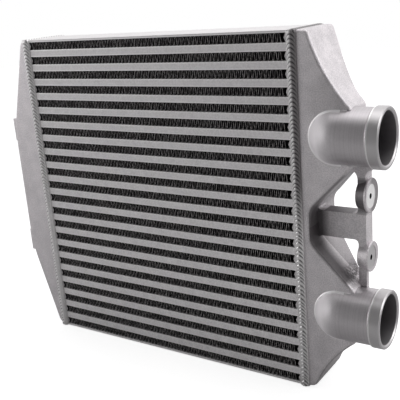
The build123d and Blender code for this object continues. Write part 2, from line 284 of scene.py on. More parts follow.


# %% [markdown]
# ## Metals
#
# Every metal here is one alloy in different states, so one builder makes them all. It mixes two
# tones with a slow noise (stains and uneven blasting) and a fast one (the grain). The slow noise
# also varies the roughness a little, and the fast one drives a bump. Object coordinates keep the
# grain at a real size, so sizes are given in millimetres.
#
# `touch_up` lays another state of the metal, or painted shade or a painted highlight, over part of
# a piece, picked out by a mask: a value that is 1 where it shows and 0 where it doesn't.

# %% The grainy metal that all the finishes start from
class Metal(Wires):
    """A metal whose colour runs from shade to tone, with grain of the given size."""

    def __init__(self, name, tone, shade, roughness, metallic, grain_mm, bump_mm, mottle_mm=25.0):
        self.material = bpy.data.materials.new(name)
        self.material.use_nodes = True
        super().__init__(self.material.node_tree)
        self.shader = self.tree.nodes["Principled BSDF"]
        self.shader.inputs["Metallic"].default_value = metallic
        self.object_place = self.node("ShaderNodeTexCoord").outputs["Object"]
        self.x, self.y, self.z = self.parts(self.object_place)
        grain = self.noise(grain_mm, 3.0)
        mottle = self.noise(mottle_mm, 4.0)

        # Noise rarely leaves the middle of 0 to 1, so only that part is stretched.
        grain_share = self.spread(grain, 0.38, 0.62, 0.0, 0.6)
        mottle_share = self.spread(mottle, 0.35, 0.65, 0.0, 0.4)
        share = self.plus(grain_share, mottle_share)
        self.colour = self.blend(share, (*shade, 1.0), (*tone, 1.0))
        self.rough = self.spread(mottle, 0.35, 0.65, roughness - 0.04, roughness + 0.04)
        self.height = self.times(grain, bump_mm * MM)
        self.connect()

    def noise(self, size_mm, detail):
        """Noise with lumps of about this size."""
        made = self.node(
            "ShaderNodeTexNoise",
            {"Vector": self.object_place, "Scale": 1.0 / (size_mm * MM), "Detail": detail},
        )
        return made.outputs["Fac"]

    def blend(self, share, first, second):
        """Colour between two colours."""
        made = self.node("ShaderNodeMix", data_type="RGBA")
        for key, value in (("Factor", share), ("A", first), ("B", second)):
            self.feed(made.inputs[key], value)
        return made.outputs["Result"]

    def mix(self, share, first, second):
        """Number between two numbers."""
        return self.plus(first, self.times(share, self.minus(second, first)))

    def connect(self):
        """Feed the shader with the colour, roughness and height built so far."""
        self.feed(self.shader.inputs["Base Color"], self.colour)
        self.feed(self.shader.inputs["Roughness"], self.rough)
        bump = self.node("ShaderNodeBump", {"Height": self.height, "Distance": 1.0})
        self.feed(self.shader.inputs["Normal"], bump.outputs[0])

    def off_row(self, level):
        """Distance up or down from the given level in the nearest row of the core."""
        turns = self.over(self.minus(self.z, first_low.z), row_pitch)
        here = self.times(self.calc("FRACT", turns), row_pitch)
        return self.size(self.minus(here, level))

    def touch_up(self, mask, colour, roughness, height=0.0):
        """Another state of the metal, or painted shade or a painted highlight, wherever the mask
        is 1.
        """
        self.colour = self.blend(mask, self.colour, (*colour, 1.0))
        self.rough = self.mix(mask, self.rough, roughness)
        self.height = self.mix(mask, self.height, height)
        self.connect()


# %% [markdown]
# The bars between the fin rows are plain strips with mottled faces. The upper bars get painted
# shade, a darker tone that comes in with the height. Braze leaves a bright line where
# a bar meets the sheets above and below it, and that line is found from the height within the
# row.

# %% Bars, with painted shade on the upper rows and bright braze lines
bars = Metal(
    "bar_aluminium", (1.0, 0.97, 0.98), (0.80, 0.775, 0.785),
    roughness=0.50, metallic=0.22, grain_mm=1.6, bump_mm=0.10, mottle_mm=9.0,
)
shade_start_height, shade_full_height, deepest_shade = 120.0 * MM, 330.0 * MM, 0.32
# Painted shade that darkens the bars towards the top.
painted_top_shade = bars.spread(bars.z, shade_start_height, shade_full_height, 0.0, deepest_shade)
bars.touch_up(painted_top_shade, (0.60, 0.58, 0.59), 0.50)
bar_middle = 0.5 * (row_pitch + fin_height)
braze_edge = bars.spread(bars.off_row(bar_middle), 2.3 * MM, 2.8 * MM)
bars.touch_up(bars.times(braze_edge, 0.9), (1.0, 0.985, 0.99), 0.4)
print("bars' middles lie", round(bar_middle / MM, 2), "mm above their row's floor")

# %% [markdown]
# The parting sheets show only their edges, and the foil inside the air channels shows only deep
# in the necks. Plain grain is enough for both: the sheets pale, the foil dull.

# %% Sheets and inner foil
sheets = Metal(
    "sheet_aluminium", (1.0, 0.98, 0.985), (0.90, 0.88, 0.885),
    roughness=0.35, metallic=0.4, grain_mm=1.1, bump_mm=0.05,
)
inner_foil = Metal(
    "inner_foil", (0.62, 0.61, 0.60), (0.45, 0.44, 0.44),
    roughness=0.5, metallic=0.6, grain_mm=1.5, bump_mm=0.03,
)
print("finishes so far:", len(bpy.data.materials))

# %% [markdown]
# The fins' black coating is thin and dull, so its shine is turned down on the shader itself. The
# coating is patchy on the strips' cut edges, which lie in two planes, and braze has run a little
# way up the crests. Both places are picked out by Object coordinates: the distance from the
# core's middle plane, and the height within the row.

# %% Black foil with bare edges and crests
black_foil = Metal(
    "black_foil", (0.020, 0.016, 0.017), (0.008, 0.006, 0.007),
    roughness=0.5, metallic=0.0, grain_mm=1.5, bump_mm=0.03,
)
black_foil.shader.inputs["Specular IOR Level"].default_value = 0.2
cut_edge = black_foil.above(black_foil.size(black_foil.y), fin_depth / 2 - 0.05 * MM)
bare = black_foil.spread(black_foil.noise(2.4, 1.0), 0.40, 0.60, 0.28, 1.0)
braze_reach = black_foil.times(black_foil.noise(2.0, 2.0), 1.4 * MM)
braze_start = black_foil.minus(fin_height / 2, braze_reach)
crest = black_foil.above(black_foil.off_row(fin_height / 2), braze_start)
black_foil.touch_up(black_foil.times(crest, 0.15), (0.48, 0.46, 0.46), 0.5)
black_foil.touch_up(black_foil.times(cut_edge, bare), (0.78, 0.74, 0.74), 0.5)
print("cut edges lie", round(fin_depth / 2 / MM, 1), "mm from the middle plane")

# %% [markdown]
# The bars that close the ends of the fin rows are black like the fins. Only their outer faces,
# front and rear, are bare. A test on the depth tells the two apart, with no second material.

# %% Closing bars, black on every face but the outer two
closing = Metal(
    "closing_bar_aluminium", (0.80, 0.77, 0.78), (0.50, 0.48, 0.49),
    roughness=0.55, metallic=0.35, grain_mm=1.3, bump_mm=0.12,
)
blackened = closing.below(closing.size(closing.y), core_depth / 2 - 0.1 * MM)
closing.touch_up(blackened, (0.030, 0.026, 0.028), 0.6)
print("closing bars' bare faces lie", round(core_depth / 2 / MM, 1), "mm from the middle plane")

# %% [markdown]
# ## The cast tanks' metal
#
# The tanks are sand-cast and blasted, then machined where something seats. One metal covers them,
# and each other state of it, and each patch of painted shade or painted highlight, is laid over
# the place that a mask picks out. The masks are worked out from Object coordinates. Painting by
# hand would need an unwrapped texture, and a second material would meet the first at a hard line.
#
# Two helpers make most masks. `band` keeps a stretch along one axis and fades at its ends. The
# necks lie the same distance above and below one level, so `off_axis` folds the height about that
# level and lets one mask serve both. The same goes for the two screw faces.

# %% Cast aluminium
cast = Metal(
    "cast_aluminium", (0.86, 0.82, 0.84), (0.60, 0.57, 0.59),
    roughness=0.56, metallic=0.78, grain_mm=1.1, bump_mm=0.15, mottle_mm=12.0,
)
print("nodes in the plain casting metal:", len(cast.tree.nodes))


# %% Helpers for the masks
def band(value, *edges):
    """1 between the middle two of four edges in mm, fading to 0 at the outer two."""
    start, full, fading, end = (edge * MM for edge in edges)
    return cast.times(cast.spread(value, start, full), cast.spread(value, fading, end, 1.0, 0.0))


def off_axis(level, reach, y):
    """Distance from the nearer of two axes along X that lie reach above and below a level."""
    up = cast.minus(cast.size(cast.minus(cast.z, level)), reach)
    return cast.distance(cast.minus(cast.y, y), up)


# %% Where the castings' features lie
tank_start = joint_x / MM
tank_front = core_low.y / MM
mouth_x = cad_box[1].x
pad_x = cad_box[0].x
lip_radius = 26.0 * MM
lip_length = 10.0 * MM
bore_radius = 22.25 * MM
barrel_radius = 25.3 * MM
neck_y = cad_box[0].y + lip_radius
neck_level, neck_reach = 158.5 * MM, 80.0 * MM
seat_x, seat_y, seat_radius = 212.9 * MM, -7.0 * MM, 10.5 * MM
seat_level, seat_reach = 157.5 * MM, 27.75 * MM
from_neck = off_axis(neck_level, neck_reach, neck_y)
from_screw = off_axis(seat_level, seat_reach, seat_y)
from_arm = cast.size(cast.minus(cast.z, seat_level))
print("necks at height", [round((neck_level + side * neck_reach) / MM, 1) for side in (-1, 1)])

# %% [markdown]
# Deep places on the casting are much darker than its open faces. Shadow makes part of that, and
# painted shade, a dark colour laid over the skin, makes the rest. The deepest place is the valley
# between the necks, behind the tank's front wall and round the arm of the screw bracket. The
# painted shade is strongest below the arm, and the rear half has only a thin veil of it.


# %% Painted shade in the valley between the necks
def paint_shade(share, *masks, roughness=0.6):
    """Painted shade of this strength where all the masks overlap."""
    shade_colour = (0.10, 0.09, 0.095)
    cast.touch_up(cast.times(share, *masks), shade_colour, roughness)


arm_half_height, arm_root_x = 12.2 * MM, 166.0 * MM
past_arm = cast.above(from_arm, arm_half_height)
off_arm = cast.calc("MAXIMUM", past_arm, cast.below(cast.x, arm_root_x))
valley_height = band(cast.z, 90.0, 98.0, 203.0, 217.0)
valley_reach = band(cast.x, tank_start - 0.5, tank_start + 1.5, 197.0, 200.0)
valley = cast.times(valley_height, off_arm, valley_reach)
upper_half = cast.above(cast.z, seat_level)
lower_half = cast.below(cast.z, seat_level)
upper_depth = band(cast.y, tank_front + 0.1, tank_front + 0.9, -24.0, -12.0)
lower_depth = band(cast.y, tank_front + 0.1, tank_front + 0.9, -17.0, -3.0)
paint_shade(0.55, valley, upper_half, upper_depth)
paint_shade(0.85, valley, lower_half, lower_depth)

rear_reach = band(cast.x, tank_start + 1.5, tank_start + 3.5, 197.0, 200.0)
rear_skin = cast.times(valley_height, off_arm, rear_reach, cast.above(cast.y, -3.0 * MM))
paint_shade(0.32, rear_skin)
paint_shade(0.25, rear_skin, lower_half)
print("the arm's half height in mm:", round(arm_half_height / MM, 1))

# %% [markdown]
# The bracket's foot stands on the lower neck, and its arm grows out of the valley. Both corners
# get painted shade, most of all in the corner itself, so these masks are distances from a point.
# The foot's painted shade is speckled, and high on the front wall the skin gets a little of it.

# %% Painted shade round the bracket and on a patch of the front wall
foot_x, foot_z = 194.0 * MM, 111.0 * MM
from_foot = cast.distance(cast.minus(cast.x, foot_x), cast.minus(cast.z, foot_z))
foot_depth = band(cast.y, -22.0, -20.0, 10.0, 14.0)
specks = cast.spread(cast.noise(2.2, 2.0), 0.42, 0.58, 0.25, 1.0)
paint_shade(0.85, band(from_foot, -1.0, 0.0, 4.0, 12.0), foot_depth, specks)

# A little painted shade high on the front wall, above the upper neck.
front_height = band(cast.z, 250.0, 262.0, 280.0, 316.0)
front_reach = band(cast.x, 160.0, 192.0, 230.0, 231.0)
front_wall = cast.below(cast.y, (tank_front + 0.1) * MM)
paint_shade(0.30, front_height, front_reach, front_wall)

root_y, root_stretch = -17.0 * MM, 0.6
from_root = cast.distance(cast.minus(cast.y, root_y), cast.times(from_arm, root_stretch))
root_reach = band(cast.x, tank_start - 0.5, tank_start + 1.5, 169.0, 177.0)
behind_front = cast.above(cast.y, (tank_front + 0.6) * MM)
paint_shade(0.85, band(from_root, -1.0, 0.0, 9.0, 17.0), root_reach, behind_front)

# Painted shade on the ledges along the arm.
arm_ledge = band(from_arm, 11.6, 11.8, 12.1, 12.2)
ledge_reach = band(cast.x, 171.0, 172.0, 197.0, 201.0)
ledge_depth = band(cast.y, -11.0, -10.9, 12.0, 13.0)
paint_shade(0.75, arm_ledge, ledge_reach, ledge_depth, roughness=0.5)
print("foot at x and z in mm:", round(foot_x / MM, 1), round(foot_z / MM, 1))

# %% [markdown]
# Each neck starts as a dome that swells out of the tank and ends in a straight barrel. The dome
# has a pale, blasted skin. The barrel is finished like turned metal, smoother and darker, with
# faint rings along it. Round the dome's root, a bright line on the front wall is a painted
# highlight.

# %% Domes, barrels and the painted highlight round their roots
on_neck = cast.below(from_neck, barrel_radius)
dome_reach = band(cast.x, 150.0, 151.0, 178.0, 196.0)
dome_depth = band(cast.y, -60.0, -59.0, tank_front - 0.8, tank_front - 0.4)
cast.touch_up(cast.times(dome_reach, on_neck, dome_depth), (0.98, 0.95, 0.97), 0.80)

barrel = cast.times(band(cast.x, 178.0, 196.0, 300.0, 301.0), on_neck)
cast.touch_up(cast.times(barrel, 0.8), (0.58, 0.55, 0.57), 0.36)
ring_spacing = 1.6 * MM
turned = cast.streaks(cast.over(cast.x, ring_spacing))
turned_rings = cast.spread(turned, 0.45, 0.65)
cast.touch_up(cast.times(barrel, turned_rings, 0.13), (0.30, 0.28, 0.29), 0.40)

root_edges = (tank_front - 1.9, tank_front - 1.5, tank_front - 0.5, tank_front - 0.1)
near_dome = cast.times(cast.below(from_neck, 34.0 * MM), cast.below(cast.x, 196.0 * MM))
# A painted highlight along the dome's root.
root_highlight = cast.times(band(cast.y, *root_edges), near_dome)
cast.touch_up(cast.times(root_highlight, 0.75), (1.0, 0.98, 0.99), 0.45)
print("barrel's mask ends", round(barrel_radius / MM, 1), "mm from its axis")

# %% [markdown]
# A raised lip at each mouth holds the hose. It has the fine grooves of a lathe, and a painted
# highlight makes a bright band on its shoulder where it begins. Inside, the bore is painted dark
# as painted shade, which eases off towards the mouth. `tool_marks` gives turned and milled faces
# a wave a few microns high, which only the reflections show.


# %% Turned lips, a painted highlight on each shoulder, and painted shade in the bores
def tool_marks(value, spacing):
    """A fine wave along a value, as a tool's cuts leave it."""
    cut_height = 0.004 * MM
    return cast.times(cast.calc("SINE", cast.over(value, spacing)), cut_height)


lip_x = mouth_x - lip_length
on_lip = cast.below(from_neck, lip_radius + 0.1 * MM)
lip = cast.times(cast.above(cast.x, lip_x - 0.1 * MM), on_lip)
lathe_marks = tool_marks(cast.plus(cast.x, from_neck), 0.07 * MM)
cast.touch_up(lip, (0.60, 0.58, 0.59), 0.38, lathe_marks)
# A painted highlight on the lip's shoulder.
shoulder = [lip_x / MM + offset for offset in (-0.2, -0.1, 0.7, 1.2)]
cast.touch_up(cast.times(lip, band(cast.x, *shoulder)), (0.95, 0.94, 0.94), 0.35)

bore_start = 181.0 * MM
# Painted shade inside the bore, with less of it towards the mouth.
bore_shade = cast.times(cast.above(cast.x, bore_start), cast.below(from_neck, bore_radius + 0.05 * MM))
cast.touch_up(bore_shade, (0.14, 0.13, 0.14), 0.55)
near_mouth = cast.spread(cast.x, mouth_x - 26.0 * MM, mouth_x - 1.0 * MM)
cast.touch_up(cast.times(bore_shade, near_mouth, near_mouth, 0.45), (0.62, 0.60, 0.61), 0.5)
print("lips start at x in mm:", round(lip_x / MM, 1))

# %% [markdown]
# Two round bosses on the bracket have milled faces with a tapped hole in each. The upper face is
# the brighter one. The holes, the sides of the upper boss and its rim get painted shade.

# %% Screw faces, and painted shade on the upper boss and in the holes
seat_plane = cast.below(cast.size(cast.minus(cast.x, seat_x)), 0.05 * MM)
seat = cast.times(seat_plane, cast.below(from_screw, seat_radius + 0.1 * MM))
cast.touch_up(seat, (0.66, 0.64, 0.65), 0.40, tool_marks(from_screw, 0.09 * MM))

side_reach = band(cast.x, 199.0, 203.0, 210.8, 211.2)
side_height = band(cast.z, 166.0, 172.0, 199.0, 203.0)
side_depth = band(cast.y, -24.0, -23.5, -12.0, -4.0)
on_boss = cast.below(from_screw, 17.0 * MM)
# Painted shade on the sides of the upper boss.
paint_shade(0.85, side_reach, on_boss, side_height, side_depth, roughness=0.5)

hole_radius = 2.8 * MM
# Painted shade inside each tapped hole.
hole_shade = cast.times(cast.below(from_screw, hole_radius), band(cast.x, 200.0, 201.0, 212.7, 212.8))
cast.touch_up(hole_shade, (0.03, 0.03, 0.03), 0.5)
cast.touch_up(cast.times(seat, upper_half), (0.98, 0.97, 0.97), 0.6)

rim_reach = band(cast.x, 210.9, 211.4, 213.6, 213.8)
rim_height = band(cast.z, 166.0, 172.0, 203.0, 205.0)
rim_depth = band(cast.y, -12.0, -4.0, 12.0, 13.0)
past_seat = cast.above(from_screw, seat_radius + 0.1 * MM)
# Painted shade on the upper boss's rim.
paint_shade(0.60, rim_reach, past_seat, rim_height, rim_depth, roughness=0.5)
print("screw faces at height", [round((seat_level + s * seat_reach) / MM, 2) for s in (-1, 1)])

# %% [markdown]
# The slope under the lower neck gets a little painted shade. On the closed tank, two pads carry
# the cooler on its mounts, and their faces are milled flat.

# %% Painted shade on the low slope, and the mounting pads
low_height = band(cast.z, -9.0, -8.0, 48.0, 60.0)
low_reach = band(cast.x, tank_start - 0.5, tank_start + 1.5, 230.0, 231.0)
off_neck = cast.above(from_neck, 27.0 * MM)
paint_shade(0.38, low_height, low_reach, behind_front, off_neck)

pad_face = cast.below(cast.x, pad_x + 0.05 * MM)
cast.touch_up(pad_face, (0.86, 0.85, 0.85), 0.30, tool_marks(cast.y, 0.09 * MM))
print("nodes in the finished casting metal:", len(cast.tree.nodes))

# %% [markdown]
# A weld bead is bright where each puddle froze, and painted shade darkens the folds between
# puddles. On the upper part of the bead at the necks, painted shade covers the tank side too. The
# mesh says how deep in a fold a point is and how much flank shade it takes, with the attribute
# `fold` and one for the flank, both made with the bead. Both are weaker towards the foot of the
# core.

# %% Weld metal
weld_metal = Metal(
    "weld_aluminium", (1.0, 0.98, 0.985), (0.80, 0.78, 0.785),
    roughness=0.38, metallic=0.65, grain_mm=0.7, bump_mm=0.04,
)
less_shade_below, more_shade_above = 100.0 * MM, 200.0 * MM
# Painted shade on the tank-side flank, heavier higher up.
flank_shade = weld_metal.node("ShaderNodeAttribute", attribute_name="flank_shade").outputs["Fac"]
flank_shade_by_height = weld_metal.spread(weld_metal.z, less_shade_below, more_shade_above, 0.3, 0.85)
weld_metal.touch_up(weld_metal.times(flank_shade, flank_shade_by_height), (0.13, 0.115, 0.12), 0.5)
# Painted shade in the folds between puddles.
fold = weld_metal.node("ShaderNodeAttribute", attribute_name="fold").outputs["Fac"]
deep = weld_metal.spread(weld_metal.z, less_shade_below, more_shade_above, 0.85, 0.9)
weld_metal.touch_up(weld_metal.times(fold, deep), (0.05, 0.045, 0.05), 0.6)
print("finishes:", len(bpy.data.materials))

# %% [markdown]
# ## The folded fins
#
# Each row of the real core holds one strip of thin foil, folded up and down well over a hundred
# times and coated black. Modelling the folds by hand is hopeless, and an array of boxes would
# miss the round crests, so the fold is a rule: along the strip, every third point is the top or
# the bottom of a crest, and its two neighbours are the shoulders of that crest. A flat grid is
# bent to that rule, extruded to the foil's thickness, and set into every row.

# %% The fin tree
def fin_tree():
    tree = Tree("Folded fin rows")
    leg_pitch = tree.number("Leg pitch")
    legs = tree.number("Legs", "Int")
    height = tree.number("Height")
    crest = tree.number("Crest rounding")
    spread = tree.number("Crest spread")
    lane_depth = tree.number("Lane depth")
    lane_count = tree.number("Lanes", "Int")
    lane_shift = tree.number("Lane shift")
    foil = tree.number("Foil")
    wobble = tree.number("Handling wobble")
    row_count = tree.number("Rows", "Int")
    row_step = tree.number("Row pitch")
    first_floor = tree.number("First row floor")
    material = tree.number("Material", "Material")

    # A grid one metre a step, so that a point's x is its number along the strip.
    points = tree.times(legs, 3)
    span = tree.minus(points, 1)
    grid = tree.node(
        "GeometryNodeMeshGrid",
        {"Size X": span, "Size Y": 1.0, "Vertices X": points, "Vertices Y": 2},
    )
    here = tree.place()
    number = tree.calc("ROUND", tree.plus(here[0], tree.times(span, 0.5)))
    fold = tree.calc("FLOOR", tree.over(tree.plus(number, 0.5), 3))
    place = tree.minus(number, tree.plus(tree.times(fold, 3), 1))
    down = tree.calc("MODULO", fold, 2)

    # Along the strip: the middle of the fold, plus a share of the pitch for its shoulders.
    middle = tree.minus(tree.plus(fold, 0.5), tree.times(legs, 0.5))
    along = tree.times(tree.plus(middle, tree.times(place, spread)), leg_pitch)

    # Up the strip: shoulders sit one rounding below the crest, and every other fold is inverted.
    dip = tree.times(tree.size(place), crest)
    top = tree.minus(height, foil)
    high = tree.minus(top, dip)
    rise = tree.minus(dip, high)
    up = tree.plus(high, tree.times(down, rise))
    deep = tree.times(here[1], lane_depth)
    bent = tree.node(
        "GeometryNodeSetPosition",
        {"Geometry": grid.outputs["Mesh"], "Position": tree.vector(along, deep, up)},
    )

    # Thicken the sheet: an extruded copy and the turned-over original, merged into one skin.
    lifted = tree.node(
        "GeometryNodeExtrudeMesh",
        {"Mesh": bent.outputs[0], "Offset Scale": foil, "Individual": False},
    )
    turned = tree.node("GeometryNodeFlipFaces", {"Mesh": bent.outputs[0]})
    both = tree.node("GeometryNodeJoinGeometry", {0: lifted.outputs["Mesh"]})
    tree.feed(both.inputs[0], turned.outputs[0])
    skin = tree.merge(both.outputs[0])

    # Lanes: the strip is cut across into lanes, and each is moved along by part of a fold.
    lanes = tree.node(
        "GeometryNodeMeshLine",
        {"Count": lane_count, "Offset": tree.vector(y=lane_depth)},
        mode="OFFSET",
    )
    lane_number = tree.node("GeometryNodeInputIndex").outputs[0]
    odd = tree.minus(tree.times(tree.calc("MODULO", lane_number, 2), 2), 1)
    half_depth = tree.times(tree.minus(lane_count, 1), tree.times(lane_depth, -0.5))
    start = tree.vector(tree.times(odd, lane_shift), half_depth, first_floor)
    strip = tree.fill(tree.move(lanes.outputs[0], start), skin)
    all_rows = tree.repeat(strip, row_count, tree.vector(z=row_step))

    # Handling leaves the legs slightly bent, each by its own amount. Crests bend with them.
    bend_scale, bend_seed = 260.0, 3.0
    noise = tree.node(
        "ShaderNodeTexNoise",
        {"Scale": bend_scale, "Detail": 1.0, "W": bend_seed},
        noise_dimensions="4D",
    )
    lean = tree.times(tree.minus(noise.outputs[0], 0.5), wobble)
    tree.finish(tree.move(all_rows, tree.vector(x=lean)), material)
    return tree


# %% Fold the foil and fill the rows
leg_pitch = 2.1 * MM
lane_shift = 0.25 * leg_pitch
lanes = 2
row_length = fin_length + 3.2 * MM
leg_count = math.floor((row_length - 2 * lane_shift) / leg_pitch)
fins = grow(
    "ambient_fins",
    fin_tree(),
    {
        "Leg pitch": leg_pitch,
        "Legs": leg_count,
        "Height": fin_height,
        "Crest rounding": 0.9 * MM,
        "Crest spread": 0.33,
        "Lane depth": fin_depth / lanes,
        "Lanes": lanes,
        "Lane shift": lane_shift,
        "Foil": 0.30 * MM,
        "Handling wobble": 0.75 * MM,
        "Rows": rows,
        "Row pitch": row_pitch,
        "First row floor": first_low.z,
        "Material": black_foil.material,
    },
)
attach(fins, "root")
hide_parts(*fin_nodes)
print("legs in each strip:", leg_count)

# %% [markdown]
# ## The weld beads
#
# A welder joins each tank to the core with one bead that runs all the way round. It is laid as a
# row of puddles, each frozen over the edge of the last, so it looks like a fallen stack of coins.
# Sweeping an arch along the joint would keep every ring straight across, but real ripples are
# bowed. So a flat grid is numbered instead: x counts the rings along the bead, and y the points
# round it. Each point asks Sample Curve for its own place on the path, and points at the toes ask
# for a place further back. A saw-tooth wave then raises each puddle's newest edge, and the same
# wave is stored as the attribute that paints shade into the folds.

# %% The path round the core, and the numbers of a ring and a point
def joint_path(tree, joint, depth, tall, corner):
    """A rectangle with round corners, standing upright at the joint."""
    loop = tree.node("GeometryNodeCurvePrimitiveQuadrilateral", {"Width": depth, "Height": tall})
    soft = tree.node(
        "GeometryNodeFilletCurve",
        {"Curve": loop.outputs[0], "Radius": corner, "Count": 8},
        mode="POLY",
    )
    stood = tree.node(
        "GeometryNodeTransform",
        {
            "Geometry": soft.outputs[0],
            "Rotation": (math.pi / 2, 0.0, math.pi / 2),
            "Translation": tree.vector(joint, 0.0, tree.times(tall, 0.5)),
        },
    )
    return stood.outputs[0]


def numbered_grid(tree, ring_count, round_count):
    """A flat grid one metre a step, and the numbers of each point's ring and place in it."""
    grid = tree.node(
        "GeometryNodeMeshGrid",
        {
            "Size X": ring_count,
            "Size Y": round_count,
            "Vertices X": tree.plus(ring_count, 1),
            "Vertices Y": tree.plus(round_count, 1),
        },
    )
    flat = tree.place()
    ring = tree.calc("ROUND", tree.plus(flat[0], tree.times(ring_count, 0.5)))
    point = tree.calc("ROUND", tree.plus(flat[1], tree.times(round_count, 0.5)))
    return grid.outputs["Mesh"], ring, point


print("a joint runs", round(2 * (core_depth + core_height) / MM), "mm round the core")

# %% [markdown]
# The ring itself is an arch from toe to toe, one point under it, and the first toe again, where
# the grid's two long edges are merged. Over the top and under the bottom of the core, a bead is
# dressed down, so its height there is only a share of the crown.


# %% The shape of a ring, and the dressed ends
def arch_shape(tree, point, arch_points):
    """Place across the bead from -1 to 1, height from 0 to 1, and 1 for points on the arch."""
    last = tree.minus(arch_points, 1)
    turn = tree.times(tree.over(tree.calc("MINIMUM", point, last), last), math.pi)
    on_arch = tree.below(point, tree.plus(last, 0.5))
    closing_point = tree.above(point, tree.plus(last, 1.5))
    side = tree.plus(tree.times(tree.calc("COSINE", turn), on_arch), closing_point)
    under = tree.minus(tree.minus(1.0, on_arch), closing_point)
    arch = tree.minus(tree.times(tree.calc("SINE", turn), on_arch), tree.times(under, 0.1))
    return side, arch, on_arch


def dress_ends(tree, geometry, tall, end_share):
    """Keep only a share of what stands over the top or under the bottom of the core."""
    level = tree.place()[2]
    over = tree.calc("MAXIMUM", tree.minus(level, tall), 0.0)
    under = tree.calc("MINIMUM", level, 0.0)
    excess = tree.times(tree.plus(over, under), tree.minus(end_share, 1.0))
    return tree.move(geometry, tree.vector(z=excess))


# %% The weld tree
def weld_tree():
    tree = Tree("Rippled weld bead")
    width = tree.number("Bead width")
    crown = tree.number("Crown height")
    depth = tree.number("Core depth")
    tall = tree.number("Core height")
    corner = tree.number("Corner radius")
    joint = tree.number("Joint")
    pitch = tree.number("Ripple pitch")
    rings = tree.number("Rings in a ripple", "Int")
    ripple = tree.number("Ripple height")
    bow = tree.number("Ripple bow")
    end_share = tree.number("Crown share at the ends")
    tank_side = tree.number("Tank side")
    # Strength of the painted shade on the tank-side flank.
    flank_shade_strength = tree.number("Flank shade")
    wander = tree.number("Wander")
    arch_points = tree.number("Arch points", "Int")
    seed = tree.number("Seed", "Int")
    material = tree.number("Material", "Material")

    path = joint_path(tree, joint, depth, tall, corner)
    length = tree.node("GeometryNodeCurveLength", {"Curve": path}).outputs[0]
    ring_count = tree.times(tree.calc("ROUND", tree.over(length, pitch)), rings)
    grid, ring, point = numbered_grid(tree, ring_count, tree.plus(arch_points, 1))
    side, arch, on_arch = arch_shape(tree, point, arch_points)
    square = tree.times(side, side)

    # Along the bead: each ring is bowed, its toes being off its crown, and drifts a little.
    # The drift fades out where the bead's two ends meet.
    share = tree.over(ring, ring_count)
    drifts = 40.0
    slow = tree.streaks(tree.times(share, drifts))
    ends_meet = tree.calc("SINE", tree.times(share, math.pi))
    drift = tree.times(tree.minus(slow, 0.5), ends_meet, wander)
    run = tree.plus(tree.times(share, length), tree.plus(drift, tree.times(square, bow)))
    sample = tree.node(
        "GeometryNodeSampleCurve",
        {"Curves": path, "Length": tree.calc("FLOORED_MODULO", run, length)},
        mode="LENGTH", use_all_curves=True,
    )
    centre = sample.outputs["Position"]
    outward = tree.join("CROSS_PRODUCT", sample.outputs["Tangent"], (1.0, 0.0, 0.0))

    # Ripples: a saw-tooth that is highest where a puddle froze last, each with its own height.
    phase = tree.over(tree.plus(ring, 0.01), rings)
    fall = tree.calc("FRACT", phase)
    chance = tree.node(
        "FunctionNodeRandomValue",
        {"Min": 0.75, "Max": 1.2, "ID": tree.calc("FLOOR", phase), "Seed": seed},
        data_type="FLOAT",
    )
    sunk = tree.minus(tree.calc("SQRT", tree.minus(1.0, fall)), 1.0)
    crest = tree.times(tree.minus(1.0, tree.times(square, square)), on_arch)
    lift = tree.times(tree.times(sunk, tree.times(ripple, chance.outputs["Value"])), crest)
    height = tree.plus(tree.times(arch, crown), lift)
    push = tree.node("ShaderNodeVectorMath", {0: outward, "Scale": height}, operation="SCALE")
    lean = tree.vector(x=tree.times(side, tree.times(width, 0.5)))
    placed = tree.join("ADD", tree.join("ADD", centre, push.outputs[0]), lean)

    # Above the middle, painted shade darkens the folds all across and covers the tank side. Below,
    # only the folds on the tank side get painted shade.
    level_share = tree.over(tree.parts(centre)[2], tall)
    shade_start_share, shade_full_share = 0.42, 0.60
    upper_shade = tree.spread(level_share, shade_start_share, shade_full_share)
    toward_tank = tree.times(side, tank_side)
    open_part = tree.calc("MAXIMUM", upper_shade, tree.spread(toward_tank, -0.1, 0.15))
    fold_shade = tree.times(tree.spread(fall, 0.45, 0.85), crest, open_part)
    darkness = tree.times(tree.spread(toward_tank, -0.15, 0.12), upper_shade, flank_shade_strength)
    shaded = tree.store(tree.store(grid, "fold", fold_shade), "flank_shade", darkness)

    bent = tree.node("GeometryNodeSetPosition", {"Geometry": shaded, "Position": placed})
    dressed = dress_ends(tree, tree.merge(bent.outputs[0]), tall, end_share)
    turned = tree.node("GeometryNodeFlipFaces", {"Mesh": dressed})
    smooth = tree.node(
        "GeometryNodeSetShadeSmooth", {"Geometry": turned.outputs[0], "Shade Smooth": True}
    )
    tree.finish(smooth.outputs[0], material)
    return tree


# %% Lay a bead at each joint
weld = weld_tree()


def lay_bead(node, side, ripple, flank_shade_strength):
    low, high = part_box(node)
    crown = core_low.y - low.y
    bead = grow(
        node + "_rippled",
        weld,
        {
            "Bead width": high.x - low.x,
            "Crown height": crown,
            "Core depth": core_depth,
            "Core height": core_height,
            "Corner radius": 1.5 * MM,
            "Joint": side * joint_x,
            "Ripple pitch": 3.7 * MM,
            "Ripple height": ripple,
            "Ripple bow": 5.0 * MM,
            "Crown share at the ends": (core_low.z - low.z) / crown,
            "Tank side": side,
            "Flank shade": flank_shade_strength,
            "Wander": 6.0 * MM,
            "Rings in a ripple": 9,
            "Arch points": 17,
            "Seed": 5,
            "Material": weld_metal.material,
        },
    )
    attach(bead, "root")
    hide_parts(node)


# The bead at the necks gets painted shade on its tank-side flank, and the closed end's gets none.
lay_bead("weld_bead_neck_end", 1.0, ripple=1.5 * MM, flank_shade_strength=0.95)
lay_bead("weld_bead_closed_end", -1.0, ripple=0.7 * MM, flank_shade_strength=0.0)

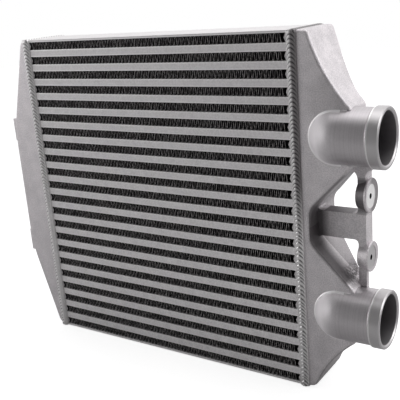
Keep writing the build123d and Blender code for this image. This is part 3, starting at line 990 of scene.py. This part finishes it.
# %% [markdown]
# ## The castings
#
# The tanks come from the CAD model with all their curves, but a CAD mesh is loose triangles, so
# each facet would catch the light alone. A merged copy shares its points. Its edges are then
# marked smooth where the faces on both sides meet at a gentle angle, and sharp elsewhere. The
# normals that came with the CAD mesh are dropped, and a Weighted Normal modifier makes new ones
# that let large flat faces stay flat.

# %% Merged copies of CAD nodes
def open_copy(node):
    """A copy of the node's mesh for editing, with points that share a place joined."""
    copy = bmesh.new()
    copy.from_mesh(nodes[node].data)
    bmesh.ops.remove_doubles(copy, verts=copy.verts, dist=0.002 * MM)
    print(node, "points after merging:", len(copy.verts))
    return copy


def close_copy(copy, name, metal):
    """A new object from the edited copy, made of this metal."""
    mesh = bpy.data.meshes.new(name)
    copy.to_mesh(mesh)
    copy.free()
    mesh.materials.append(metal.material)
    piece = bpy.data.objects.new(name, mesh)
    bpy.context.scene.collection.objects.link(piece)
    return piece


# %% Smooth the two tanks
sharp_angle = math.radians(32)


def smooth_casting(node, name):
    copy = open_copy(node)
    copy.normal_update()
    for edge in copy.edges:
        edge.smooth = edge.calc_face_angle(0.0) < sharp_angle
    for face in copy.faces:
        face.smooth = True
    sharp_edges = sum(not edge.smooth for edge in copy.edges)
    piece = close_copy(copy, name, cast)
    piece.data.attributes.remove(piece.data.attributes["custom_normal"])
    even = piece.modifiers.new("even_normals", "WEIGHTED_NORMAL")
    even.keep_sharp = True
    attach(piece, "root")
    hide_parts(node)
    print(name, "sharp edges:", sharp_edges)


smooth_casting("necked_tank", "necked_casting")
smooth_casting("closed_tank", "closed_casting")

# %% [markdown]
# ## Closing bars
#
# The bars that close the fin rows have noses towards the fins. In the finished core little of
# each nose can be seen, so it keeps only a share of its length here. The points at the tips are
# the ones nearest the core's middle, and they are moved back in a merged copy.

# %% Closing bars with short noses
def short_nosed(node, name, share):
    """A merged copy whose noses keep only a share of their length."""
    copy = open_copy(node)
    reaches = sorted({round(abs(point.co.x) / MM, 2) for point in copy.verts})
    tip, shoulder = reaches[0] * MM, reaches[1] * MM
    for point in copy.verts:
        if abs(point.co.x) < tip + 0.02 * MM:
            point.co.x = math.copysign(shoulder + (tip - shoulder) * share, point.co.x)
    piece = close_copy(copy, name, closing)
    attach(piece, "root")
    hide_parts(node)
    print(name, "nose length in mm:", round((shoulder - tip) * share / MM, 2))


for end in ("closed_end", "neck_end"):
    short_nosed("closing_bars_" + end, "closing_bars_" + end + "_worn", share=0.55)

# %% [markdown]
# ## Finishes for the rest of the core
#
# The other bars, the sheets, the side plates and the inner foils keep their CAD shapes, which are
# plain enough to need no more detail. Each gets its finish by family, from the start of its name.

# %% Give every carried-over node its finish
families = {
    "turbulator_": inner_foil,
    "front_channel_bars": bars,
    "rear_channel_bars": bars,
    "parting_sheets": sheets,
    "side_plate_": bars,
}
finished = 0
for name, node in nodes.items():
    for family, finish in families.items():
        if name.startswith(family):
            node.data.materials.clear()
            node.data.materials.append(finish.material)
            finished += 1
print("nodes finished by family:", finished)

# %% [markdown]
# ## Studio
#
# The cooler stands on a pale floor in a white surround. The floor takes a soft shadow, so it is a
# real surface, but its mid-grey paper would look dark beside the white. It therefore glows, and
# only for the camera. The metal mirrors the paper without that glow.

# %% Floor
floor_size = 6.0
half = floor_size / 2
floor_z = cad_box[0].z
corners = [(-half, -half), (half, -half), (half, half), (-half, half)]
floor_mesh = bpy.data.meshes.new("floor")
floor_mesh.from_pydata([(x, y, floor_z) for x, y in corners], [], [(0, 1, 2, 3)])
floor = bpy.data.objects.new("floor", floor_mesh)
bpy.context.scene.collection.objects.link(floor)

paper = bpy.data.materials.new("white_paper")
paper.use_nodes = True
paper_glow = 0.80
paper_wires = Wires(paper.node_tree)
paper_shader = paper.node_tree.nodes["Principled BSDF"]
paper_shader.inputs["Base Color"].default_value = (0.45, 0.45, 0.45, 1.0)
paper_shader.inputs["Roughness"].default_value = 0.9
paper_shader.inputs["Emission Color"].default_value = (1.0, 1.0, 1.0, 1.0)
seen = paper_wires.node("ShaderNodeLightPath").outputs["Is Camera Ray"]
paper_wires.feed(
    paper_shader.inputs["Emission Strength"], paper_wires.times(seen, paper_glow)
)
floor_mesh.materials.append(paper)
print("floor at z in mm:", round(floor_z / MM, 2))

# %% [markdown]
# Metal shows what it mirrors, so the room matters more than the lamps. It is bright behind the
# part and dim in front of it, with a soft change between the two. Only camera rays see plain
# white all round, through Is Camera Ray. Mirror rays see the bright and the dim side instead, so
# the metal does not show the white background, and its front faces stay grey.

# %% Room
room = bpy.data.worlds.new("room")
bpy.context.scene.world = room
room.use_nodes = True
walls = Wires(room.node_tree)
background = room.node_tree.nodes["Background"]
background.inputs["Color"].default_value = (1.0, 1.0, 1.0, 1.0)
facing = walls.node("ShaderNodeTexCoord").outputs["Generated"]
dim, bright = 0.08, 1.0
ramp = walls.node(
    "ShaderNodeMapRange",
    {
        "Value": walls.parts(facing)["Y"],
        "From Min": -0.45,
        "From Max": 0.35,
        "To Min": dim,
        "To Max": bright,
    },
    interpolation_type="SMOOTHSTEP",
)
camera_ray = walls.node("ShaderNodeLightPath").outputs["Is Camera Ray"]
pick = walls.node(
    "ShaderNodeMix",
    {"Factor": camera_ray, "A": ramp.outputs["Result"], "B": 1.0},
    data_type="FLOAT",
)
walls.feed(background.inputs["Strength"], pick.outputs["Result"])
print("room's strength runs from", dim, "to", bright)

# %% [markdown]
# Three square lamps stand in for large softboxes: one overhead, a small one on the right, and a
# big one far off on the left that lights the front. Large lamps give the castings broad, soft
# highlights instead of hot spots.


# %% Lamps
def soft_lamp(name, place, aim, width, power):
    data = bpy.data.lights.new(name, "AREA")
    data.shape = "SQUARE"
    data.size = width
    data.energy = power
    lamp = bpy.data.objects.new(name, data)
    lamp.location = place
    lamp.rotation_euler = (Vector(aim) - Vector(place)).to_track_quat("-Z", "Y").to_euler()
    bpy.context.scene.collection.objects.link(lamp)
    print(name, "watts:", power)


middle = (cad_box[0] + cad_box[1]) / 2
soft_lamp("top_light", (0.2, 0.1, 1.6), middle, width=1.2, power=6.4)
soft_lamp("right_light", (1.5, 0.3, 0.9), middle, width=0.9, power=6.0)
soft_lamp("left_light", (-4.3, -2.5, 0.6), middle, width=3.4, power=98.0)

# %% [markdown]
# The camera stands in front of the neck end, a little above the middle, and looks down at the
# cooler. It is turned by three plain angles: round the upright axis, down, and a roll about its
# own line of sight.

# %% Camera
camera_data = bpy.data.cameras.new("camera")
camera_data.lens = 64.63
camera_data.sensor_width = 36.0
camera = bpy.data.objects.new("camera", camera_data)
camera.location = (0.42587, -0.56763, 0.36440)
heading, dip, roll = math.radians(34.74), math.radians(16.31), math.radians(-4.68)
aimed = Euler((math.pi / 2 - dip, 0.0, heading)).to_matrix()
rolled = Euler((0.0, 0.0, roll)).to_matrix()
camera.rotation_euler = (aimed @ rolled).to_euler()
bpy.context.scene.collection.objects.link(camera)
bpy.context.scene.camera = camera
bpy.context.scene.view_settings.view_transform = "Standard"
print("camera to the part's middle, in mm:", round((camera.location - middle).length / MM))
